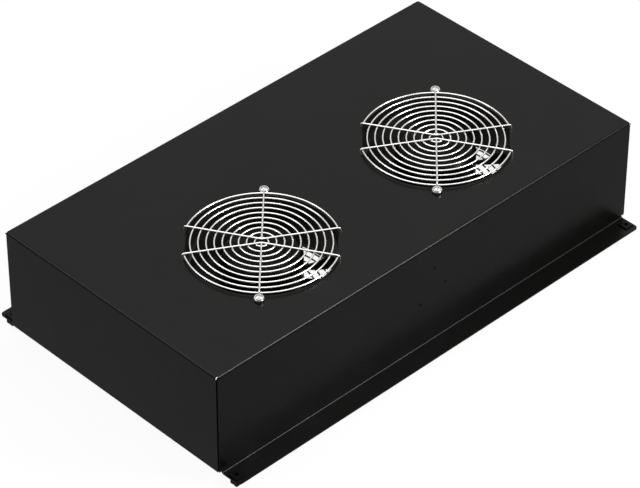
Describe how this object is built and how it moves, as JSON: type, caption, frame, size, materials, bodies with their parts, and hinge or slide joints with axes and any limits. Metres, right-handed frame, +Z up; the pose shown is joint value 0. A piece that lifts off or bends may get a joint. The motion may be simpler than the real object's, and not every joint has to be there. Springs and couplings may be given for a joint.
{
  "type": "enclosure roof fan",
  "caption": "Roof fan unit for an equipment enclosure: a folded black steel housing, open underneath, with axial fans behind wire finger guards and flanges for fixing.",
  "frame": {"origin": "centre of the rectangle of the four flange fasteners, on the underside of the flanges", "axes": "+X along the housing, +Y across it away from the wall with the small holes, +Z up through the fans"},
  "size_m": [0.551, 0.3374, 0.1314],
  "materials": {
    "black_powder_coat": "semi-gloss black powder coat",
    "black_nylon": "black nylon",
    "cast_frame": "black painted die casting",
    "impeller_plastic": "black moulded plastic",
    "core_steel": "laminated electrical steel",
    "bearing_steel": "ground bearing steel",
    "copper": "enamelled copper",
    "lead_insulation": "plastic insulation",
    "earth_insulation": "green and yellow insulation",
    "guard_wire": "bright nickel-plated steel wire",
    "zinc_fastener": "zinc-plated steel",
    "dark_screw": "blackened steel",
    "block_plastic": "light grey moulded plastic",
    "brass": "plain brass"
  },
  "bodies": {
    "root": {"housing": "black_powder_coat", "flange_snap_nuts": "black_nylon", "left_fan_frame": "cast_frame", "left_upper_bearing": "bearing_steel", "left_lower_bearing": "bearing_steel", "left_stator_core": "core_steel", "left_windings": "copper", "left_lead_bush": "black_nylon", "left_leads": "lead_insulation", "left_outlet_guard": "guard_wire", "left_inlet_guard": "guard_wire", "right_fan_frame": "cast_frame", "right_upper_bearing": "bearing_steel", "right_lower_bearing": "bearing_steel", "right_stator_core": "core_steel", "right_windings": "copper", "right_lead_bush": "black_nylon", "right_leads": "lead_insulation", "right_outlet_guard": "guard_wire", "right_inlet_guard": "guard_wire", "outlet_screws": "zinc_fastener", "outlet_washers": "zinc_fastener", "outlet_nuts": "zinc_fastener", "inlet_screws": "zinc_fastener", "inlet_washers": "zinc_fastener", "inlet_nuts": "zinc_fastener", "terminal_base": "block_plastic", "terminal_bars": "brass", "terminal_screws": "zinc_fastener", "terminal_fixing_screws": "dark_screw", "earth_screw": "dark_screw", "earth_tag": "zinc_fastener", "earth_lead": "earth_insulation", "lead_clips": "block_plastic"},
    "left_rotor": {"left_impeller": "impeller_plastic", "left_rotor_core": "core_steel", "left_shaft": "bearing_steel", "left_preload_spring": "bearing_steel", "left_shaft_clip": "core_steel"},
    "right_rotor": {"right_impeller": "impeller_plastic", "right_rotor_core": "core_steel", "right_shaft": "bearing_steel", "right_preload_spring": "bearing_steel", "right_shaft_clip": "core_steel"}
  },
  "joints": [
    {"name": "left_fan_spin", "type": "hinge", "parent": "root", "child": "left_rotor", "pos_m": [-0.1163, -0.0355, 0.09], "axis": [0, 0, 1], "continuous": true},
    {"name": "right_fan_spin", "type": "hinge", "parent": "root", "child": "right_rotor", "pos_m": [0.1163, -0.0355, 0.09], "axis": [0, 0, 1], "continuous": true}
  ]
}
